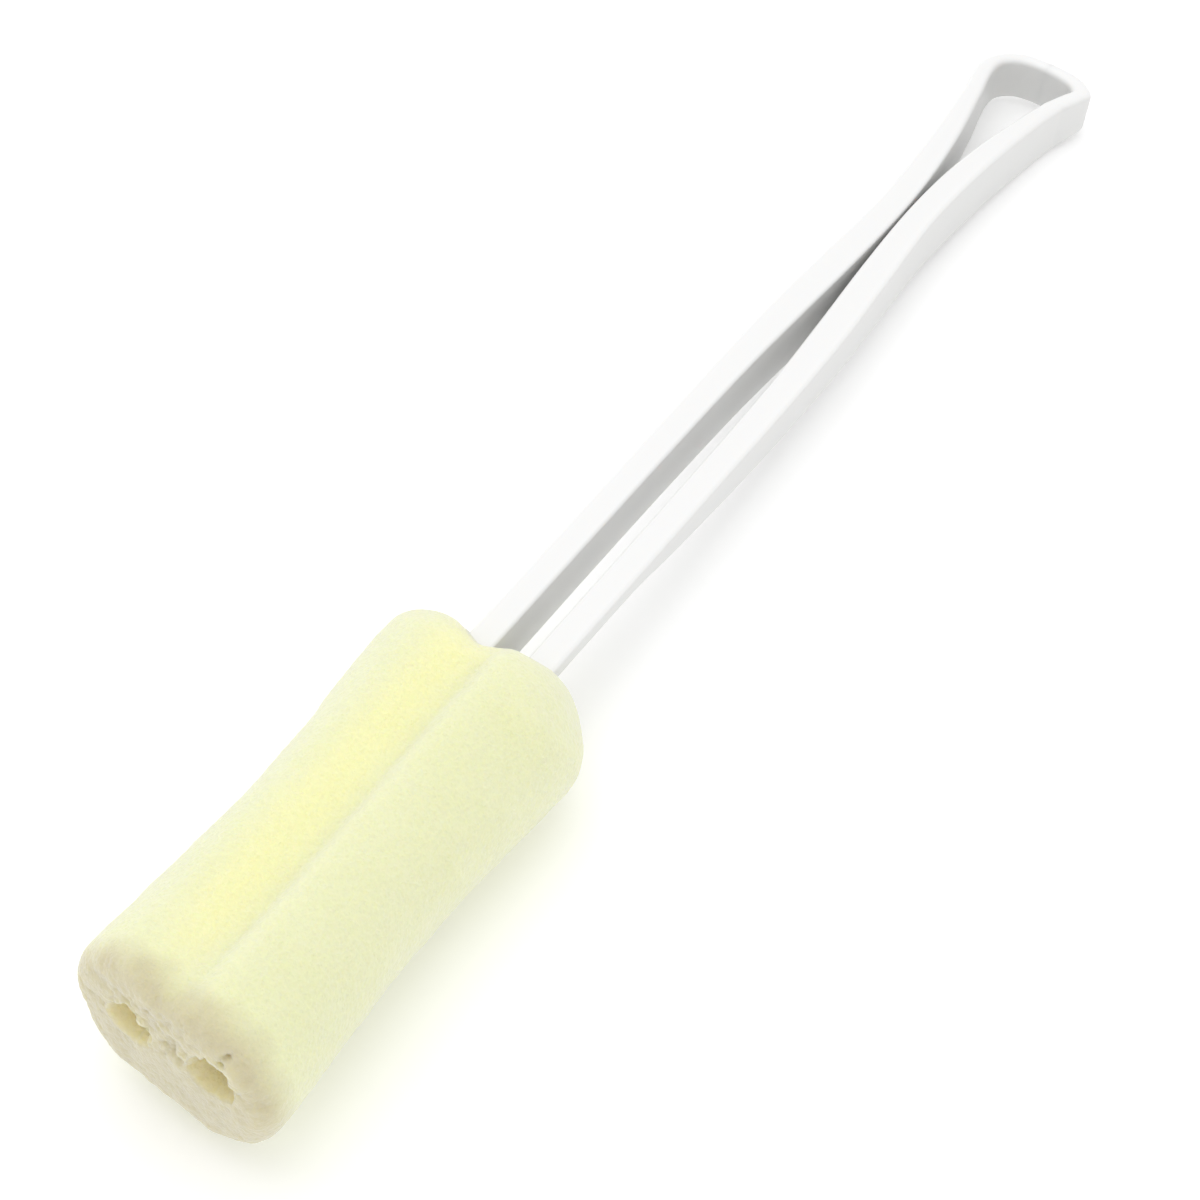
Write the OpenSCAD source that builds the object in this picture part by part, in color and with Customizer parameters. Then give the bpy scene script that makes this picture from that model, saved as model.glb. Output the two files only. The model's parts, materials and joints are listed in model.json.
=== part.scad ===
// Sponge brush with a hairpin handle.
// A plastic strap is bent into a hanging eye, its two arms touch at a waist, run on nearly parallel
// and end as two thin legs. A two-lobed foam sponge is pushed over the legs and pulls off again.
// X runs from the sponge's free end to the hanging eye, Y across the arms, Z up.
// The brush lies on its back: the sponge's rear rim and the eye's lower edge touch Z = 0.
// All sizes are in millimetres.

/* [Part] */
// Sub-part to draw

/* [Overall] */
// Length from the sponge's free end to the outside of the eye
total_length = 300; // [280:5:320]

/* [Sponge] */
// Length of the foam
sponge_length = 95; // [90:1:100]
// Largest width of the foam, near its ends
sponge_width = 40; // [36:1:44]
// Depth of the foam through a lobe
sponge_depth = 31; // [28:1:34]
// How much narrower each side of the waist is
sponge_waist = 1.4; // [0:0.2:3]
// Depth of the groove between the lobes
groove_depth = 2.2; // [1:0.2:4]
// Width of the slot that takes a leg
slot_width = 7; // [6.8:0.1:7.4]
// Depth of that slot, front to back
slot_depth = 11.8; // [11.6:0.1:12.4]

/* [Legs] */
// Distance from the sponge's free end to the leg tips
tip_inset = 20; // [16:1:26]
// Thickness of a leg inside the foam
leg_thickness = 3.6; // [3.2:0.1:3.8]
// Height of the barb at a leg's tip
barb_height = 1; // [0.6:0.1:1.1]

/* [Arms] */
// Outside of an arm from the centre plane, where it leaves the foam
arm_outside = 8.1; // [7.8:0.1:8.2]
// Inside of an arm from the centre plane, where it leaves the foam
arm_inside = 2.9; // [2.8:0.1:3]
// Centre of the waist knuckles along the length
pivot_x = 224; // [222:1:228]
// Largest inward squeeze of one arm, degrees
squeeze_angle = 0.5; // [0.2:0.1:0.5]

/* [Hidden] */
$fn = 64;
L = total_length;
wide = 60;                               // larger than any cross-section
hs = sponge_depth / 2;
ws = sponge_width / 2;
step_x = sponge_length - 9;              // where the thin leg meets the full arm
pocket_x = step_x - 2;                   // where the slot widens for the full arm
knuckle_r = 2.2;
knuckle_gap = 0.12;
seam_gap = 0.1;

// Smooth curve through stations [x, value]
function _k(t, s, i) = (t <= s[i + 1][0] || i >= len(s) - 2) ? i : _k(t, s, i + 1);
function _m(s, i) = (i <= 0 || i >= len(s) - 1) ? 0
    : (s[i + 1][1] - s[i - 1][1]) / (s[i + 1][0] - s[i - 1][0]);
function curve(t, s) = let (i = _k(t, s, 0), h = s[i + 1][0] - s[i][0],
    q = max(0, min(1, (t - s[i][0]) / h)))
    (2*q*q*q - 3*q*q + 1) * s[i][1] + (q*q*q - 2*q*q + q) * h * _m(s, i)
    + (-2*q*q*q + 3*q*q) * s[i + 1][1] + (q*q*q - q*q) * h * _m(s, i + 1);
function steps(a, b, n) = [for (i = [0 : n]) a + (b - a) * i / n];
function flip(p) = [for (i = [len(p) - 1 : -1 : 0]) p[i]];

// Arm and eye: outside and inside distance from the centre plane along the length
outside = [[sponge_length, arm_outside], [125, 8.2], [155, 8.3], [178, 8.35], [198, 7.95],
    [216, 6.95], [235, 5.95], [250, 6.35], [265, 7.45], [280, 9.2], [L - 8, 10.9]];
inside = [[sponge_length, arm_inside], [125, 2.95], [155, 2.9], [178, 2.6], [198, 1.85],
    [216, 1.05], [235, 0.45], [250, 1.2], [265, 2.6], [280, 5.0], [L - 10, 6.7]];
// Depth of the arm on its inner side and on its outer side
deep_in = [[tip_inset, 10.8], [125, 10.9], [155, 11.2], [190, 12], [235, 13.2], [262, 13.1],
    [L - 16, 12], [L, 9.4]];
deep_out = [[tip_inset, 3.3], [122, 3.3], [138, 5.2], [158, 7.8], [190, 9.4], [218, 11.4],
    [238, 12.6], [262, 12.6], [L - 16, 11.8], [L, 9.4]];
function front(x) = curve(x, [[tip_inset, 5.4], [155, 5.5], [190, 5.8], [235, 6.5],
    [262, 6.5], [L, 5.5]]);

// Resting tilt: rear rim of the sponge and lower edge of the eye on one plane
rim_x = sponge_length - 6;
eye_low = 6.3;                           // how far the eye's lowest edge is behind the centre line
eye_low_x = L - 18;
tilt = atan((hs - eye_low) / (eye_low_x - rim_x));
lift = hs * cos(tilt) + rim_x * sin(tilt);
mid = (L * cos(tilt) + 5.5 * sin(tilt) - 0.8 * hs * sin(tilt)) / 2;
module rest_pose() translate([-mid, 0, lift]) rotate([0, tilt, 0]) children();

// Extrude a plan outline (x, y) through the whole depth
module plan() translate([0, 0, -wide / 2]) linear_extrude(wide) children();
// Extrude a side outline (x, z) through the whole width
module side() rotate([90, 0, 0]) translate([0, 0, -wide / 2]) linear_extrude(wide) children();
// Extrude a cross-section (y, z) from x0 to x1
module along(x0, x1) translate([x0, 0, 0]) rotate([90, 0, 90]) linear_extrude(x1 - x0) children();

// Centre and thickness of the strap at the knuckles
pivot_y = (curve(pivot_x, outside) + curve(pivot_x, inside)) / 2;

// Everything between the front faces and the backs of the inner sides
module depth_band(x0, x1, n) side() polygon(concat(
    [for (x = steps(x0, x1, n)) [x, front(x)]],
    flip([for (x = steps(x0, x1, n)) [x, front(x) - curve(x, deep_in)]])));

// Space behind the slanting outer back of the left arm, one flat facet between two stations
function shoulder(x) = [x, curve(x, outside), front(x) - curve(x, deep_out)];
function heel(x) = [x, curve(x, outside) - 0.7 * (curve(x, outside) - curve(x, inside)),
    front(x) - curve(x, deep_in)];
module behind(x0, x1) {
    a = shoulder(x0);
    n = cross(shoulder(x1) - a, heel(x0) - a);
    u = n / norm(n);
    intersection() {
        translate(a) rotate([0, acos(u[2]), atan2(u[1], u[0])])
            translate([-150, -150, 0]) cube([300, 300, 40]);
        translate([x0 - 0.01, 0, -wide / 2]) cube([x1 - x0 + 0.02, wide, wide]);
    }
}
cuts = [10, 122, 138, 158, 190, 218, 238, 262, L - 16, L + 4];
module outer_back(first, last) for (i = [first : last]) behind(cuts[i], cuts[i + 1]);

// Left arm lying along X, before the resting tilt
leg_in = arm_outside - leg_thickness;
module arm() difference() {
    intersection() {
        union() {
            plan() polygon(concat(
                [for (x = steps(sponge_length, pivot_x - seam_gap, 34)) [x, curve(x, outside)]],
                flip([for (x = steps(sponge_length, pivot_x - seam_gap, 34)) [x, curve(x, inside)]]),
                [[step_x + 3, arm_inside], [step_x, leg_in], [tip_inset + 3, leg_in],
                    [tip_inset, leg_in + 0.7], [tip_inset, arm_outside - 1.2],
                    [tip_inset + 6, arm_outside + barb_height], [tip_inset + 8, arm_outside + barb_height],
                    [tip_inset + 8.6, arm_outside]]));
            translate([pivot_x, pivot_y, -wide / 2]) cylinder(r = knuckle_r, h = wide);
        }
        depth_band(tip_inset, pivot_x + 4, 60);
    }
    outer_back(0, 5);
}

// Far end of the eye from the left side round to the right, as [mm along the edge, place] stations.
// The bar bows outwards, and its right corner is the wider one.
end_x = L - 13;
end_y = curve(end_x, outside);
bar_x = [[0, end_x], [4.5, L - 8.6], [9, L - 4.5], [14.5, L - 1], [19, L - 0.3], [24, L - 0.1],
    [29, L - 1.3], [33.5, L - 4.4], [37, L - 7.7], [42.5, end_x]];
bar_y = [[0, end_y], [4.5, 10.5], [9, 8.6], [14.5, 4.3], [19, 0], [24, -5], [29, -9.9],
    [33.5, -13.1], [37, -12.4], [42.5, -end_y]];
// The same for the opening
eye_x = L - 14;
eye_y = curve(eye_x, inside);
gap_x = [[0, eye_x], [5, L - 9], [8, L - 6.2], [11.5, L - 4.1], [15, L - 3.4], [19.5, L - 3.6],
    [23, L - 4.7], [25.5, L - 6.6], [28, L - 9], [33.5, eye_x]];
gap_y = [[0, eye_y], [5, 6.8], [8, 6], [11.5, 3.3], [15, 0], [19.5, -4.6], [23, -8.1],
    [25.5, -9.2], [28, -8.1], [33.5, -eye_y]];

module eye_outline() {
    left = [for (x = steps(pivot_x, end_x, 24)) [x, curve(x, outside)]];
    end = [for (t = steps(0.6, 41.9, 36)) [curve(t, bar_x), curve(t, bar_y)]];
    polygon(concat(left, end, flip([for (p = left) [p[0], -p[1]]])));
}
module eye_opening() {
    left = [for (x = steps(pivot_x - 1, eye_x, 24)) [x, curve(x, inside)]];
    end = [for (t = steps(0.6, 32.9, 30)) [curve(t, gap_x), curve(t, gap_y)]];
    polygon(concat(left, end, flip([for (p = left) [p[0], -p[1]]])));
}

module hanging_loop() color([0.95, 0.95, 0.94]) rest_pose() difference() {
    intersection() {
        plan() difference() {
            eye_outline();
            eye_opening();
            for (s = [-1, 1]) translate([pivot_x, s * pivot_y]) circle(knuckle_r + knuckle_gap);
        }
        depth_band(pivot_x, L, 40);
    }
    outer_back(5, 8);
    mirror([0, 1, 0]) outer_back(5, 8);
}

module left_arm() color([0.95, 0.95, 0.94]) rest_pose() arm();
module right_arm() color([0.93, 0.93, 0.92]) rest_pose() mirror([0, 1, 0]) arm();

// Foam: a two-lobed bar, waisted along its length and rounded at both ends
bulge = [[0, 0.8], [1.4, 0.93], [5, 1], [14, 0.99], [sponge_length / 2, 0], [sponge_length - 13, 0.99],
    [sponge_length - 6, 1], [sponge_length - 2, 0.94], [sponge_length, 0.8]];
function half_size(x, full) = abs(x - sponge_length / 2) > sponge_length / 2 - 5
    ? full * curve(x, bulge)
    : full - sponge_waist * (1 - pow((2 * x / sponge_length - 1) / 0.9, 2));
module waisted(full) polygon(concat(
    [for (x = steps(0, sponge_length, 38)) [x, half_size(x, full)]],
    flip([for (x = steps(0, sponge_length, 38)) [x, -half_size(x, full)]])));
slot_in = leg_in - 2.1;
module sponge() color([0.94, 0.93, 0.74]) rest_pose() difference() {
    intersection() {
        along(0, sponge_length) difference() {
            union() {
                for (s = [-1, 1]) translate([s * (ws - hs), 0]) circle(hs, $fn = 96);
                square([2 * (ws - hs), 2 * hs], center = true);
            }
            for (s = [-1, 1]) translate([0, s * (hs + 5 - groove_depth)]) circle(5);
        }
        plan() waisted(ws);
        side() waisted(hs);
    }
    for (s = [-1, 1]) {
        translate([-1, s * (slot_in + slot_width / 2), 0])
            cube([2 * sponge_length + 4, slot_width, slot_depth], center = true);
        translate([pocket_x, s > 0 ? arm_inside - 1.5 : -leg_in, -slot_depth / 2])
            cube([20, leg_in - arm_inside + 1.5, slot_depth]);
    }
}

hanging_loop();
left_arm();
right_arm();
sponge();
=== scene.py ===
import json
import math

import bpy
import numpy as np
from mathutils import Matrix, Vector
from mathutils.geometry import delaunay_2d_cdt


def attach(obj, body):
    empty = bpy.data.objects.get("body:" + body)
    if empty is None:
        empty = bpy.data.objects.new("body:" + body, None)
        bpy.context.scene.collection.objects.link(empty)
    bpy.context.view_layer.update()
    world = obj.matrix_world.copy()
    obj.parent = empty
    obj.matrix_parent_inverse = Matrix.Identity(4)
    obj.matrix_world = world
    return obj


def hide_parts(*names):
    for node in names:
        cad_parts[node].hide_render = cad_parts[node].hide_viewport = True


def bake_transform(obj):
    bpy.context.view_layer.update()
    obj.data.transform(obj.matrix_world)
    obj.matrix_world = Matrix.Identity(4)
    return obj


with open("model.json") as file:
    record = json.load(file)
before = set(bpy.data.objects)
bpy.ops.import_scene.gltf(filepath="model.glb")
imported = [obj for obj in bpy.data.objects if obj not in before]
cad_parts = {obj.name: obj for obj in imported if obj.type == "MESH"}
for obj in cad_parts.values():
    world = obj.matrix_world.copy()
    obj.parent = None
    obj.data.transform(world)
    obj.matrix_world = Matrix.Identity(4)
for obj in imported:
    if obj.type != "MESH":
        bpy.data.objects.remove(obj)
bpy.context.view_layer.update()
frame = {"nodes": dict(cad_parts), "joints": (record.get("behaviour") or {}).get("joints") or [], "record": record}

# ---------------------------------------------------------------- the brush's own axes
# u runs along the handle from the sponge's free end, v across the arms, w to the front, in mm
JOINTS = {j["name"]: j for j in frame["joints"]}
MOUNTS = {m["name"]: m for m in frame["record"]["mounts"]}
U_AXIS = -np.array(JOINTS["sponge_pull"]["axis"])
V_AXIS = np.array([0.0, 1.0, 0.0])
W_AXIS = np.array(JOINTS["left_arm_flex"]["axis"])
ORIGIN = np.array(MOUNTS["foam_end_face"]["pos_m"])


def row(p):
    """Points in the brush's axes, mm, to the row frame, metres."""
    p = np.asarray(p, float) / 1000.0
    return ORIGIN + p[..., 0:1] * U_AXIS + p[..., 1:2] * V_AXIS + p[..., 2:3] * W_AXIS


def curve(t, stations):
    """Smooth curve through [x, value] stations, the same one the CAD uses."""
    x, y = np.array(stations, float).T
    slope = np.zeros(len(x))
    slope[1:-1] = (y[2:] - y[:-2]) / (x[2:] - x[:-2])
    t = np.clip(np.asarray(t, float), x[0], x[-1])
    i = np.clip(np.searchsorted(x, t) - 1, 0, len(x) - 2)
    h = x[i + 1] - x[i]
    q = (t - x[i]) / h
    return ((2 * q**3 - 3 * q**2 + 1) * y[i] + (q**3 - 2 * q**2 + q) * h * slope[i]
            + (-2 * q**3 + 3 * q**2) * y[i + 1] + (q**3 - q**2) * h * slope[i + 1])


def ease(x):
    """Rise from 0 to 1 while x goes from 0 to 1, level at both ends."""
    x = np.clip(x, 0, 1)
    return x * x * (3 - 2 * x)


def bell(x, centre, width):
    """1 at the centre, fading to nothing on both sides."""
    return np.exp(-((x - centre) / width) ** 2)


def unit(v):
    return v / np.linalg.norm(v)


def resample(points, count):
    """Evenly spaced points along a broken line."""
    points = np.array(points, float)
    along = np.concatenate([[0], np.cumsum(np.linalg.norm(np.diff(points, axis=0), axis=1))])
    wanted = np.linspace(0, along[-1], count)
    return np.stack([np.interp(wanted, along, values) for values in points.T], 1)


def rounded(points, radii, steps=6):
    """Round a closed polygon's corners with steps + 1 points each."""
    points = np.array(points, float)
    out = []
    for i, corner in enumerate(points):
        back = points[i - 1] - corner
        ahead = points[(i + 1) % len(points)] - corner
        back_length, ahead_length = np.linalg.norm(back), np.linalg.norm(ahead)
        back, ahead = back / back_length, ahead / ahead_length
        half = 0.5 * math.acos(np.clip(back @ ahead, -1, 1))
        cut = min(radii[i] / math.tan(half), 0.46 * back_length, 0.46 * ahead_length)
        centre = corner + unit(back + ahead) * (cut * math.tan(half) / math.sin(half))
        start, end = corner + back * cut - centre, corner + ahead * cut - centre
        sweep = math.acos(np.clip(unit(start) @ unit(end), -1, 1))
        for f in np.linspace(0, 1, steps + 1):
            arc = math.sin((1 - f) * sweep) * start + math.sin(f * sweep) * end
            out.append(centre + arc / math.sin(sweep))
    return np.array(out)


def make_mesh(name, verts, faces):
    """A smooth-shaded mesh object in the scene."""
    mesh = bpy.data.meshes.new(name)
    mesh.from_pydata([tuple(v) for v in verts], [], [tuple(f) for f in faces])
    mesh.validate()
    mesh.update()
    mesh.polygons.foreach_set("use_smooth", [True] * len(mesh.polygons))
    obj = bpy.data.objects.new(name, mesh)
    bpy.context.scene.collection.objects.link(obj)
    return obj


def paint(obj, name, values):
    """Store one number per vertex for the material to read."""
    attribute = obj.data.attributes.new(name, "FLOAT", "POINT")
    attribute.data.foreach_set("value", values.astype(np.float32))


# ---------------------------------------------------------------- noise
class Noise:
    """Value noise on a random lattice, which repeats after CELLS cells."""

    CELLS = 64

    def __init__(self, seed):
        self.grid = np.random.RandomState(seed).uniform(-1, 1, (self.CELLS,) * 3)

    def __call__(self, points, size):
        q = np.asarray(points, float) / size
        cell = np.floor(q).astype(int)
        f = ease(q - cell)
        out = 0.0
        for corner in np.ndindex(2, 2, 2):
            share = np.prod(np.where(corner, f, 1 - f), axis=1)
            a, b, c = ((cell + corner) % self.CELLS).T
            out = out + share * self.grid[a, b, c]
        return out


def pits(points, size, width, seed, share=1.0):
    """1 in the middle of scattered pits and 0 between them: one pit to a cell of the given size, as wide as
    width cells; share leaves some cells without a pit."""
    cells, none_near = 32, 9.0
    draws = np.random.RandomState(seed)
    place = draws.uniform(0.1, 0.9, (cells, cells, cells, 3))
    used = draws.uniform(0, 1, (cells, cells, cells)) < share
    q = np.asarray(points, float) / size
    cell = np.floor(q).astype(int)
    nearest = np.full(len(q), none_near)
    for step in np.ndindex(3, 3, 3):
        near = cell + step - 1
        a, b, c = (near % cells).T
        away = np.linalg.norm(near + place[a, b, c] - q, axis=1)
        nearest = np.minimum(nearest, np.where(used[a, b, c], away, none_near))
    return bell(nearest, 0, width)


# ---------------------------------------------------------------- handle
LENGTH = 300.0
ARM_U, EYE_U = 94.0, 283.0   # where the arm's curves take over from the leg, and the eye's bar from the arm
# the arm's sides as [u, distance from the middle]
OUTSIDE = [[95, 8.1], [125, 8.2], [155, 8.3], [178, 8.35], [198, 7.95], [216, 6.95], [235, 5.95],
           [250, 6.35], [265, 7.45], [280, 9.2], [LENGTH - 8, 10.9]]
INSIDE = [[95, 2.9], [125, 2.95], [155, 2.9], [178, 2.6], [198, 1.7], [216, 0.75], [235, 0.25],
          [250, 0.8], [265, 2.4], [280, 5.0], [LENGTH - 10, 6.7]]
# the leg in the foam: its tip, the step where the arm thickens, its sides, the tapered tip and the barb
TIP, STEP, STEP_LENGTH = 20.0, 86.0, 3.0
LEG_OUT, LEG_IN, ARM_IN = 8.1, 4.5, 2.9
TIP_OUT, TIP_IN, TIP_TAPER = 6.9, 5.2, 3.0
BARB_OUT, BARB_SLOPE, BARB_LENGTH = 9.1, 6.0, 8.5
# the strap's depth along its inner and its outer side, and the w of its front
DEEP_IN = [[TIP, 10.8], [125, 10.9], [155, 11.2], [190, 12], [235, 13.2], [262, 13.1],
           [LENGTH - 16, 12], [LENGTH, 9.4]]
DEEP_OUT = [[TIP, 3.3], [118, 3.3], [134, 5.4], [158, 7.8], [190, 9.4], [218, 11.4], [238, 12.6],
            [262, 12.6], [LENGTH - 16, 11.8], [LENGTH, 9.4]]
FRONT = [[TIP, 5.4], [155, 5.5], [190, 5.8], [235, 6.5], [262, 6.5], [LENGTH, 5.5]]
# the eye's far end from left to right, as [mm along the edge, place] stations: outer edge, then opening
END_U, GAP_U = LENGTH - 13, LENGTH - 14
END_V, GAP_V = float(curve(END_U, OUTSIDE)), float(curve(GAP_U, INSIDE))
BAR_U = [[0, END_U], [4.5, LENGTH - 8.6], [9, LENGTH - 4.5], [14.5, LENGTH - 1], [19, LENGTH - 0.3],
         [24, LENGTH - 0.1], [29, LENGTH - 1.3], [33.5, LENGTH - 4.4], [37, LENGTH - 7.7], [42.5, END_U]]
BAR_V = [[0, END_V], [4.5, 10.5], [9, 8.6], [14.5, 4.3], [19, 0], [24, -5], [29, -9.9],
         [33.5, -13.1], [37, -12.4], [42.5, -END_V]]
GAP_FAR_U = [[0, GAP_U], [5, LENGTH - 9], [8, LENGTH - 6.2], [11.5, LENGTH - 4.1], [15, LENGTH - 3.4],
             [19.5, LENGTH - 3.6], [23, LENGTH - 4.7], [25.5, LENGTH - 6.6], [28, LENGTH - 9], [33.5, GAP_U]]
GAP_FAR_V = [[0, GAP_V], [5, 6.8], [8, 6], [11.5, 3.3], [15, 0], [19.5, -4.6], [23, -8.1],
             [25.5, -9.2], [28, -8.1], [33.5, -GAP_V]]
EYE_POINTS = 97              # points round the eye's far end, the middle one in the middle of its bar


def arm_edges():
    """Matching points on an arm's outer and inner plan edges, from the leg's tip to the eye."""
    outer, inner = [], []
    for u in np.concatenate([[TIP, TIP + 0.25, TIP + 0.6], np.arange(TIP + 1, ARM_U, 1.0)]):
        past = u - TIP
        out = LEG_OUT
        if past < BARB_SLOPE:
            out = TIP_OUT + past / BARB_SLOPE * (BARB_OUT - TIP_OUT)
        elif past < BARB_LENGTH:
            out = BARB_OUT
        inn = LEG_IN - (LEG_IN - ARM_IN) * ease((u - STEP) / STEP_LENGTH)
        if past < TIP_TAPER:
            inn += (TIP_IN - LEG_IN) * (1 - past / TIP_TAPER)
        outer.append((u, out))
        inner.append((u, inn))
    for u in np.arange(ARM_U, EYE_U, 1.5):
        outer.append((u, float(curve(u, OUTSIDE))))
        inner.append((u, float(curve(u, INSIDE))))
    return np.array(outer), np.array(inner)


def strap_edges():
    """Matching points on the strap's outer and inner plan edges, from the left tip round to the right one."""
    edges = []
    for arm, side, end_u, far_u, far_v in zip(arm_edges(), (OUTSIDE, INSIDE), (END_U, GAP_U),
                                              (BAR_U, GAP_FAR_U), (BAR_V, GAP_FAR_V)):
        lead = [(u, float(curve(u, side))) for u in np.arange(EYE_U, end_u - 0.2, 0.5)]
        t = np.linspace(0.5, far_u[-1][0] - 0.5, 120)
        far = list(zip(curve(t, far_u), curve(t, far_v)))
        eye = resample(lead + far + [(u, -v) for u, v in lead[::-1]], EYE_POINTS)
        edges.append(np.vstack([arm, eye, arm[::-1] * [1, -1]]))
    return edges


def strap_rings():
    """One ring of points for each pair of edge points: flat front, deep inner side, slanting outer back."""
    rings = []
    for o, i in zip(*strap_edges()):
        u = 0.5 * (o[0] + i[0])
        width = np.linalg.norm(o - i)
        front = float(curve(u, FRONT))
        back_in = front - float(curve(u, DEEP_IN))
        back_out = max(front - float(curve(u, DEEP_OUT)), back_in + 0.3)
        corners = [(0, front), (width, front), (width, back_out), (width * 0.34, back_in), (0, back_in)]
        softer = np.clip((u - 250) / 40, 0, 1)               # the eye's front edges are rounder
        ring = rounded(corners, [0.7 + 0.7 * softer, 0.8 + 0.8 * softer, 1.4, 1.4, 1.0])
        tip = math.sqrt(1 - (1 - np.clip((u - TIP) / 1.2, 0.16, 1)) ** 2)
        middle = ring.mean(0)
        ring = middle + (ring - middle) * tip
        share = ring[:, 0:1] / width
        rings.append(np.column_stack([(1 - share) * i + share * o, ring[:, 1]]))
    return np.array(rings)


def handle_halves():
    """The strap as two closed pieces that meet in the middle of the eye's bar, shaded as one."""
    rings = strap_rings()
    count, around = rings.shape[:2]
    places = row(rings)
    lengthwise = np.gradient(places, axis=0)
    crosswise = np.roll(places, -1, 1) - np.roll(places, 1, 1)
    normals = np.cross(lengthwise, crosswise)
    normals /= np.linalg.norm(normals, axis=2)[:, :, None]
    middle = count // 2
    made = []
    for name, part in (("handle_left", slice(0, middle + 1)), ("handle_right", slice(middle, count))):
        verts = places[part].reshape(-1, 3)
        flat = normals[part].reshape(-1, 3)
        faces = []
        for a in range(0, len(verts) - around, around):
            b = a + around
            for j in range(around):
                k = (j + 1) % around
                faces.append((b + j, b + k, a + k, a + j))
        sides = len(faces)
        faces.append(tuple(range(around)))
        faces.append(tuple(range(len(verts) - 1, len(verts) - around - 1, -1)))
        obj = make_mesh(name, verts, faces)
        loops = []
        for poly in obj.data.polygons:
            for v in poly.vertices:
                loops.append(tuple(flat[v]) if poly.index < sides else tuple(poly.normal))
        obj.data.normals_split_custom_set(loops)
        # how far each point faces the front; the material paints the sides and back darker with it as painted
        # shade
        paint(obj, "painted_shade_facing", ease((flat @ W_AXIS - 0.15) / 0.6))
        made.append(obj)
    return made


left, right = handle_halves()

# ---------------------------------------------------------------- foam
FOAM = 95.0
HALF_W = [[0, 20.2], [9, 20.0], [20, 19.2], [44, 18.6], [60, 19.3], [72, 20.3], [84, 20.7], [FOAM, 20.5]]
HALF_D = [[0, 15.5], [10, 15.4], [44, 14.9], [70, 15.1], [84, 15.5], [FOAM, 15.4]]
GROOVE_V = [[0, -1.4], [16, -0.8], [32, -0.3], [60, 0.0], [FOAM, 0.0]]
GROOVE_DEPTH, BACK_GROOVE_DEPTH = 3.3, 1.2
STADIUM_R, STADIUM_C = 15.5, 4.6   # the outline before it is stretched: radius, and centres from the middle
AROUND = 380                       # points round the foam
RIM_A, RIM_B = 8.0, 11.0           # length of the rounded stretch at the free end and at the handle end
SLOT_POINTS = 72                   # points round each slot
# the cut end's two slits: middle, direction of the longer half, and seed of the ragged edge
SLITS = {1: ((6.8, 2.3), (0.74, 0.67), 11), -1: ((-9.9, 4.8), (0.62, 0.78), 12)}
SLIT_LONG, SLIT_SHORT = 3.7, 3.2
HUG, SQUEEZE_ROOM = 0.2, 1.4       # the mouth's clearance round an arm, and on its inner side
MOUTH = [(ARM_IN - SQUEEZE_ROOM, 5.45 + HUG), (ARM_IN - SQUEEZE_ROOM, -5.45 - HUG), (4.67, -5.45 - HUG),
         (8.15 + HUG, 2.1 - HUG), (8.15 + HUG, 5.45 + HUG)]
SLOT = [(2.6, 5.9), (2.6, -5.9), (9.3, -5.9), (9.3, 5.9)]


def section(u, inset):
    """Two-lobed outline at each u, pulled in by inset; one u and inset for each of the AROUND points."""
    turn = np.linspace(0, 2 * math.pi, 1441)
    stadium = np.column_stack([np.where(np.cos(turn) > 0, STADIUM_C, -STADIUM_C) + STADIUM_R * np.cos(turn),
                               STADIUM_R * np.sin(turn)])
    across, height = (resample(stadium, AROUND + 1)[:-1] / [STADIUM_R + STADIUM_C, STADIUM_R]).T
    v = across * (curve(u, HALF_W) - inset)
    w = height * (curve(u, HALF_D) - inset)
    off = v - curve(u, GROOVE_V)
    # a long slope on the left and a steep one on the right
    groove = np.where(off > 0, 1 - ease(off / 13.0), bell(off, 0, 2.0))
    groove = groove * GROOVE_DEPTH * ease((u + 4) / 22) * (1 - inset / 14)
    back_groove = BACK_GROOVE_DEPTH * bell(off, 0, 4.5)
    on_front = np.clip(height * 2 - 0.4, 0, 1)
    on_back = np.clip(-height * 2 - 0.4, 0, 1)
    return np.column_stack([v, w - on_front * groove + on_back * back_groove])


def rim_ring(f, length, radius):
    """u measured from the end, and inset, at share f of the way round a rim whose radius changes round it."""
    flat = length - radius
    way = f * (flat + 0.5 * math.pi * radius)
    a = np.clip((way - flat) / radius, 0, math.pi / 2)
    return length - np.minimum(way, flat) - radius * np.sin(a), radius * (1 - np.cos(a))


def slit(side, lean=0.0):
    """Ragged slit of the cut end in the (v, w) plane.

    lean opens its lower edge, so that its lower wall runs out to the surface at a slant."""
    middle, along, seed = SLITS[side]
    across = (-along[1], along[0])
    turn = np.linspace(0, 2 * math.pi, SLOT_POINTS, endpoint=False)
    draws = np.random.RandomState(seed)
    ragged = np.interp(turn, np.linspace(0, 2 * math.pi, 26), np.append(draws.uniform(-1, 1, 25), 0))
    ragged = 1 + np.where(turn < math.pi, 0.17, 0.06) * ragged
    x = SLIT_LONG * np.sign(np.cos(turn)) * np.abs(np.cos(turn)) ** 0.85 * ragged
    y = SLIT_SHORT * np.sign(np.sin(turn)) * np.abs(np.sin(turn)) ** 0.85 * ragged
    y = np.where(y < 0, y * (1 + 0.6 * lean), y)
    return np.array(middle) + np.outer(x, along) + np.outer(y, across)


def signed_area(loop):
    ahead = np.roll(loop, -1, 0)
    return 0.5 * np.sum(loop[:, 0] * ahead[:, 1] - ahead[:, 0] * loop[:, 1])


def straight_slot(side, corners):
    """Slot with rounded corners in the (v, w) plane, its first point towards +v as in slit()."""
    finer = 8
    loop = rounded(corners, [1.2] * len(corners), 8) * [side, 1]
    loop = resample(np.vstack([loop, loop[:1]]), finer * SLOT_POINTS + 1)[:-1]
    if signed_area(loop) < 0:
        loop = loop[::-1]
    off = loop - [5.9 * side, 0.0]
    first = int(np.argmin(np.abs(np.arctan2(off[:, 1], off[:, 0]))))
    return np.roll(loop, -first, 0)[::finer]


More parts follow.
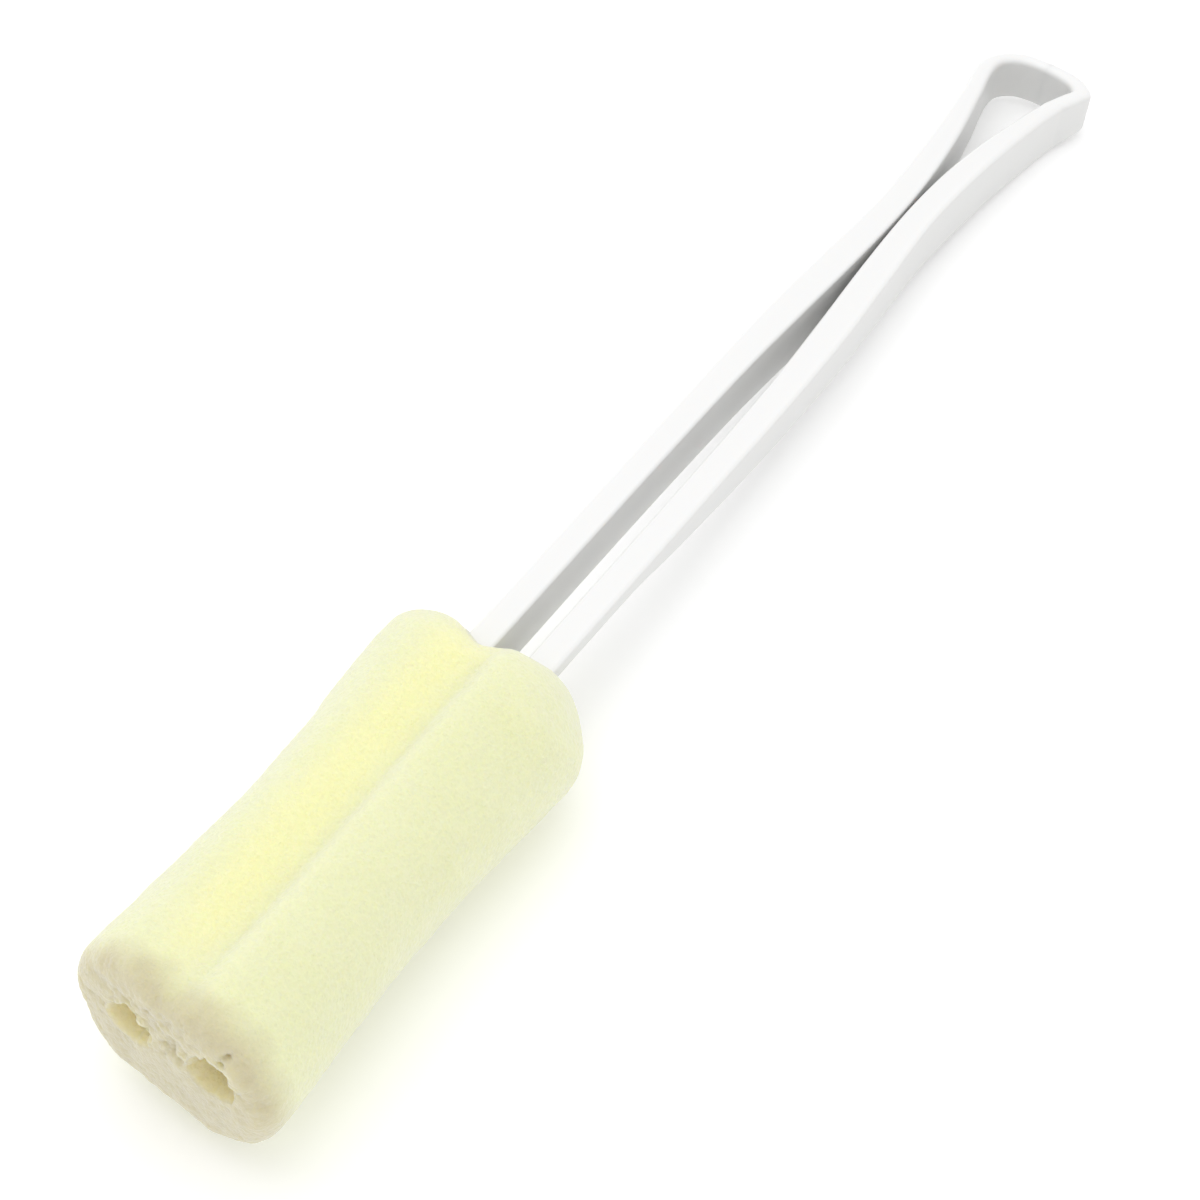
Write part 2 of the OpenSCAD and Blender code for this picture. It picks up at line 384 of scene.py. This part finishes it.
def scaled(loop, grow):
    middle = loop.mean(0)
    return middle + (loop - middle) * grow


def within(loop, points):
    """Which of the points lie inside a closed loop."""
    hit = np.zeros(len(points), bool)
    x, y = points.T
    for (x1, y1), (x2, y2) in zip(loop, np.roll(loop, -1, 0)):
        crosses = (y1 > y) != (y2 > y)
        hit ^= crosses & (x < (x2 - x1) * (y - y1) / (y2 - y1 + 1e-12) + x1)
    return hit


class FoamMesh:
    """The foam's skin, two slots cut right through it and two end faces, as one closed mesh."""

    def __init__(self):
        self.verts, self.faces, self.walls = [], [], []
        rings = self.skin()
        starts, ends = zip(self.slot_walls(1), self.slot_walls(-1))
        self.end_face(0.0, (rings[0], *starts), step=0.36, seed=5, to_handle=False)
        self.end_face(FOAM, (rings[-1], *ends), step=0.55, seed=6, to_handle=True)

    def add(self, points):
        start = len(self.verts)
        self.verts.extend(points)
        return list(range(start, start + len(points)))

    def skin(self):
        """Rings from the free end's flat, over its rim and the middle, to the handle end's flat."""
        v, w = section(np.full(AROUND, 30.0), np.zeros(AROUND)).T
        turn = np.arctan2(w, v)
        # the cut end is roundest at its front; the other end at its sides, most at the right
        radius_a = 3.4 + 0.7 * np.sin(turn)
        radius_b = 6.1 - 1.3 * np.cos(turn) + 1.9 * np.cos(2 * turn)
        stations = [rim_ring(f, RIM_A, radius_a) for f in np.linspace(1, 0, 20)[:-1]]
        for u in np.arange(RIM_A, FOAM - RIM_B, 0.42):
            stations.append((np.full(AROUND, u), np.zeros(AROUND)))
        for f in np.linspace(0, 1, 28):
            u, inset = rim_ring(f, RIM_B, radius_b)
            stations.append((FOAM - u, inset))
        rings = [self.add(np.column_stack([u, section(u, inset)])) for u, inset in stations]
        for a, b in zip(rings[:-1], rings[1:]):
            for j in range(AROUND):
                k = (j + 1) % AROUND
                self.faces.append((a[j], a[k], b[k], b[j]))
        return rings

    def slot_walls(self, side):
        """The walls from the cut end's slit to the mouth that hugs the arm; returns both end loops."""
        wide, mouth = straight_slot(side, SLOT), straight_slot(side, MOUTH)
        stages = []
        for u, grow in ((0.0, 1.16), (0.35, 1.10), (1.0, 1.03), (2.0, 0.97), (3.5, 0.92), (6, 0.88),
                        (12, 0.86)):
            lean = max(1 - u / 3.5, 0.0)
            stages.append((u, scaled(slit(side, lean), grow)))
        stages.append((16, 0.5 * slit(side) + 0.5 * wide))
        for u in (20, 50, 84):
            stages.append((u, wide))
        for u, grow in ((88, 1.04), (FOAM - 1.2, 1.0), (FOAM - 0.4, 1.03), (FOAM, 1.10)):
            stages.append((u, scaled(mouth, grow)))
        loops = [self.add(np.column_stack([np.full(SLOT_POINTS, u), loop])) for u, loop in stages]
        for a, b in zip(loops[:-1], loops[1:]):
            for j in range(SLOT_POINTS):
                k = (j + 1) % SLOT_POINTS
                self.faces.append((a[j], b[j], b[k], a[k]))
        for loop in loops[1:-1]:
            self.walls += loop
        return loops[0], loops[-1]

    def end_face(self, u, loops, step, seed, to_handle):
        """Fill an end with scattered points and triangles, and leave the slots open."""
        verts = np.array(self.verts)
        outer, *holes = [verts[loop][:, 1:] for loop in loops]
        edge = np.vstack([outer] + holes)

        def on_foam(points):
            return within(outer, points) & ~within(holes[0], points) & ~within(holes[1], points)

        grid_v, grid_w = np.meshgrid(np.arange(-21, 21, step), np.arange(-16, 16, step * 0.87))
        grid_v = grid_v + (np.arange(grid_v.shape[0]) % 2)[:, None] * step / 2
        fill = np.column_stack([grid_v.ravel(), grid_w.ravel()])
        fill = fill + np.random.RandomState(seed).uniform(-0.25, 0.25, fill.shape) * step
        kept = on_foam(fill)
        for part in np.array_split(edge, 20):
            kept &= np.linalg.norm(fill[:, None] - part[None], axis=2).min(1) > step * 0.55
        fill = fill[kept]
        ids = [i for loop in loops for i in loop] + self.add(np.column_stack([np.full(len(fill), u), fill]))
        edges = []
        for loop in loops:
            start = len(edges)
            edges += [(start + j, start + (j + 1) % len(loop)) for j in range(len(loop))]
        points = [Vector(p) for p in np.vstack([edge, fill])]
        out_verts, _, out_faces, origins, _, _ = delaunay_2d_cdt(points, edges, [], 0, 1e-6)
        places = np.array([tuple(v) for v in out_verts])
        triangles = np.array(out_faces)
        for corners in triangles[on_foam(places[triangles].mean(1))]:
            if signed_area(places[corners]) < 0:
                corners = corners[::-1]
            face = [ids[origins[i][0]] for i in corners]
            self.faces.append(tuple(face if to_handle else face[::-1]))


def vertex_normals(verts, faces):
    """Area-weighted vertex normals of a mesh of triangles and quads."""
    normals = np.zeros_like(verts)
    for size in (3, 4):
        group = np.array([f for f in faces if len(f) == size])
        first, second, third, last = (verts[group[:, k]] for k in (0, 1, 2, -1))
        across = np.cross(third - first, last - second)
        for k in range(size):
            np.add.at(normals, group[:, k], across)
    return normals / np.maximum(np.linalg.norm(normals, axis=1), 1e-12)[:, None]


def make_foam():
    raw = FoamMesh()
    points = np.array(raw.verts)
    u, v, w = points.T
    skin = np.ones(len(points))
    skin[raw.walls] = 0.0
    noise, other_noise = Noise(1), Noise(2)

    # broad swell and fine pores over the whole skin, less at the handle end
    swell = 0.30 * noise(points, 14.0) + 0.16 * other_noise(points, 6.0) + 0.07 * noise(points + 31, 2.6)
    fine = 0.05 * other_noise(points + 7, 0.9) - 0.10 * pits(points, 1.1, 0.42, 3)
    handle_end = np.clip((u - (FOAM - 5)) / 5, 0, 1)
    # the cut end is coarser, and torn most in a band above the slits
    band = bell(w, 5.5, 4.5) * bell(v, 1.0, 14.0)
    torn = (0.26 * other_noise(points + 3, 3.8) + (0.12 + 0.36 * band) * noise(points + 5, 1.6)
            + (0.07 + 0.22 * band) * other_noise(points + 9, 0.8)
            - (0.28 + 0.65 * band) * pits(points, 2.7, 0.30, 4, 0.55)
            - (0.20 + 0.30 * band) * pits(points, 1.3, 0.36, 8, 0.8))
    for hole_v, hole_w in ((-11.1, 9.6), (-11.9, 11.3)):     # two pinholes above the right slit
        torn -= 1.6 * np.exp(-((v - hole_v) ** 2 + (w - hole_w) ** 2) / 0.28)
    cut_end = np.clip(1 - u / 4.5, 0, 1)
    lift = skin * ((swell + fine) * (1 - 0.5 * handle_end) + cut_end * torn)
    placed = points + vertex_normals(points, raw.faces) * lift[:, None]

    # the free end is cut a little askew and bulges: its right and its front stand further out
    bulge = 0.9 * np.clip(1 - (v / 20) ** 2 - (w / 15) ** 2, 0, 1)
    placed[:, 0] += (0.12 * v - 0.086 * w - 1.7 - bulge) * np.clip(1 - u / 20, 0, 1) ** 2
    # the other end slopes back from the legs to the front, and its right shoulder hangs back
    front = np.clip(w, 0, 20) / 14
    shoulder = ease((-v - 8) / 11)
    notch = bell(v, 3.8, 4.0) * np.clip(front * 2, 0, 1)
    placed[:, 0] -= (8.5 * front ** 1.2 + 5.2 * shoulder + 2.6 * notch) * ease((u - 66) / 24)

    made = make_mesh("foam", row(placed), raw.faces)
    # the cut end's own beige, which the material also paints darker as painted shade on the end face
    near_cut = np.clip(1.3 * (1 - u / 6.0) - 0.1 + 0.22 * noise(points, 3.0), 0, 1)
    paint(made, "cut_end", np.where(u < 8, near_cut, 0))
    # painted bounce light: the groove's long left slope on the front, which the material paints lighter and
    # yellower
    off = v - curve(u, GROOVE_V)
    slope = np.where(off > 0, bell(off, 4.5, 4.2), 0.25 * bell(off, 0, 1.2))
    paint(made, "groove", slope * np.clip(w / 6 - 0.5, 0, 1) * ease(u / 18))
    # painted bounce light: the slot walls' cut foam, painted lighter and more golden than the cut end, most deep
    # inside
    paint(made, "inside", (1 - skin) * np.clip(0.35 + u / 8, 0, 1))
    return made


foam = make_foam()


# ---------------------------------------------------------------- materials
def material(name):
    """A new material, its node tree and its main shader."""
    made = bpy.data.materials.new(name)
    made.use_nodes = True
    return made, made.node_tree, made.node_tree.nodes["Principled BSDF"]


def set_inputs(node, values):
    for name, value in values.items():
        node.inputs[name].default_value = value


def texture(tree, kind, values):
    """A texture in the object's own coordinates."""
    made = tree.nodes.new(kind)
    set_inputs(made, values)
    place = tree.nodes.new("ShaderNodeTexCoord")
    tree.links.new(place.outputs["Object"], made.inputs["Vector"])
    return made


def painted(tree, name):
    """Output of the numbers painted on the mesh under this name."""
    made = tree.nodes.new("ShaderNodeAttribute")
    made.attribute_name = name
    return made.outputs["Fac"]


def mixed(tree, factor, first, second):
    """Output of a mix of two colours; the first may be another node's output."""
    made = tree.nodes.new("ShaderNodeMix")
    made.data_type = "RGBA"
    tree.links.new(factor, made.inputs["Factor"])
    if isinstance(first, tuple):
        made.inputs["A"].default_value = (*first, 1)
    else:
        tree.links.new(first, made.inputs["A"])
    made.inputs["B"].default_value = (*second, 1)
    return made.outputs["Result"]


def add_bump(tree, shader, height, strength):
    made = tree.nodes.new("ShaderNodeBump")
    set_inputs(made, {"Strength": strength, "Distance": 0.0004})
    tree.links.new(height, made.inputs["Height"])
    tree.links.new(made.outputs["Normal"], shader.inputs["Normal"])


def plastic():
    made, tree, shader = material("handle_plastic")
    set_inputs(shader, {"Roughness": 0.36, "IOR": 1.49, "Subsurface Weight": 0.15,
                        "Subsurface Radius": (1.0, 0.9, 0.8), "Subsurface Scale": 0.002})
    # painted shade: faces turned from the front are painted a darker white, as shade falls on them
    tone = mixed(tree, painted(tree, "painted_shade_facing"), (0.74, 0.74, 0.73), (0.88, 0.88, 0.875))
    tree.links.new(tone, shader.inputs["Base Color"])
    grain = texture(tree, "ShaderNodeTexNoise", {"Scale": 900, "Detail": 2})
    add_bump(tree, shader, grain.outputs["Fac"], 0.04)
    return made


def foam_material():
    made, tree, shader = material("foam_open_cell")
    cloud = texture(tree, "ShaderNodeTexNoise", {"Scale": 90, "Detail": 3})
    cells = texture(tree, "ShaderNodeTexVoronoi", {"Scale": 1250})
    grain = texture(tree, "ShaderNodeTexNoise", {"Scale": 2600, "Detail": 2})
    # two skin tones; over them the groove's slope painted lighter and yellower as painted bounce light, the beige
    # cut end darkened with painted shade, and the inside of the slots painted lighter as painted bounce light
    tone = mixed(tree, cloud.outputs["Fac"], (0.82, 0.835, 0.505), (0.85, 0.862, 0.585))
    # painted bounce light on the groove's slope
    tone = mixed(tree, painted(tree, "groove"), tone, (0.97, 0.945, 0.52))
    # the cut end's beige, painted darker as painted shade
    tone = mixed(tree, painted(tree, "cut_end"), tone, (0.63, 0.58, 0.40))
    # painted bounce light inside the slots
    tone = mixed(tree, painted(tree, "inside"), tone, (0.90, 0.81, 0.48))
    # painted shade: pores painted a little darker than the walls between them, as shade falls into them
    pore = tree.nodes.new("ShaderNodeMapRange")
    set_inputs(pore, {"From Min": 0.0, "From Max": 0.6, "To Min": 0.965, "To Max": 1.0})
    tree.links.new(cells.outputs["Distance"], pore.inputs["Value"])
    grained = tree.nodes.new("ShaderNodeVectorMath")
    grained.operation = "SCALE"
    tree.links.new(tone, grained.inputs["Vector"])
    tree.links.new(pore.outputs["Result"], grained.inputs["Scale"])
    tree.links.new(grained.outputs["Vector"], shader.inputs["Base Color"])
    set_inputs(shader, {"Roughness": 0.9, "Specular IOR Level": 0.15, "Subsurface Weight": 0.6,
                        "Subsurface Radius": (1.0, 0.9, 0.45), "Subsurface Scale": 0.006,
                        "Sheen Weight": 0.5})
    height = tree.nodes.new("ShaderNodeMath")
    height.operation = "ADD"
    tree.links.new(cells.outputs["Distance"], height.inputs[0])
    tree.links.new(grain.outputs["Fac"], height.inputs[1])
    add_bump(tree, shader, height.outputs["Value"], 0.5)
    return made


PLASTIC, FOAM_MATERIAL = plastic(), foam_material()
for o in (left, right):
    o.data.materials.append(PLASTIC)
foam.data.materials.append(FOAM_MATERIAL)
for name, o in frame["nodes"].items():
    o.data.materials.clear()
    o.data.materials.append(FOAM_MATERIAL if name == "sponge" else PLASTIC)

# ---------------------------------------------------------------- what moves with what
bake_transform(left)
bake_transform(right)
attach(foam, "sponge")
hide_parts("hanging_loop", "left_arm")
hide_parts("hanging_loop", "right_arm")
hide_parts("sponge")

# ---------------------------------------------------------------- studio
FLOOR_HALF, FLOOR_Z = 6.0, -0.0002               # metres
CAMERA_PLACE = (-205.1, -151.4, 374.6)           # in the brush's axes, as is the point it is aimed at
CAMERA_AIM = (115.74, -3.68, 0.0)
CAMERA_ROLL = 9.177                              # degrees
LENS, SENSOR = 90.0, 36.0
KEY_PLACE, KEY_SIZE, KEY_POWER = (-0.05, 0.35, 1.40), 1.6, 6.4

scene = bpy.context.scene
scene.view_settings.view_transform = "Standard"
floor = make_mesh("floor", [(x * FLOOR_HALF, y * FLOOR_HALF, FLOOR_Z)
                            for x, y in ((-1, -1), (1, -1), (1, 1), (-1, 1))], [(0, 1, 2, 3)])
paper, _, paper_shader = material("floor_paper")
set_inputs(paper_shader, {"Base Color": (0.98, 0.98, 0.98, 1), "Roughness": 0.9, "Specular IOR Level": 0.1,
                          "Emission Color": (1, 1, 1, 1), "Emission Strength": 0.12})
floor.data.materials.append(paper)

world = bpy.data.worlds.new("studio")
scene.world = world
world.use_nodes = True
set_inputs(world.node_tree.nodes["Background"], {"Color": (1, 1, 1, 1), "Strength": 0.86})


def add_camera():
    data = bpy.data.cameras.new("camera")
    data.lens = LENS
    data.sensor_width = SENSOR
    data.clip_start = 0.02
    data.clip_end = 30
    place = row(CAMERA_PLACE)
    back = unit(place - row(CAMERA_AIM))
    level = unit(np.cross(W_AXIS, back))
    roll = math.radians(CAMERA_ROLL)
    side = math.cos(roll) * level + math.sin(roll) * np.cross(back, level)
    turn = Matrix([tuple(axis) for axis in (side, np.cross(back, side), back)]).transposed()
    camera = bpy.data.objects.new("camera", data)
    scene.collection.objects.link(camera)
    camera.matrix_world = Matrix.Translation(Vector(place)) @ turn.to_4x4()
    scene.camera = camera


def add_key_light():
    data = bpy.data.lights.new("key", "AREA")
    data.shape = "DISK"
    data.size = KEY_SIZE
    data.energy = KEY_POWER
    key = bpy.data.objects.new("key", data)
    scene.collection.objects.link(key)
    key.location = KEY_PLACE
    key.rotation_mode = "QUATERNION"
    key.rotation_quaternion = (-Vector(KEY_PLACE)).to_track_quat("-Z", "Y")


add_camera()
add_key_light()
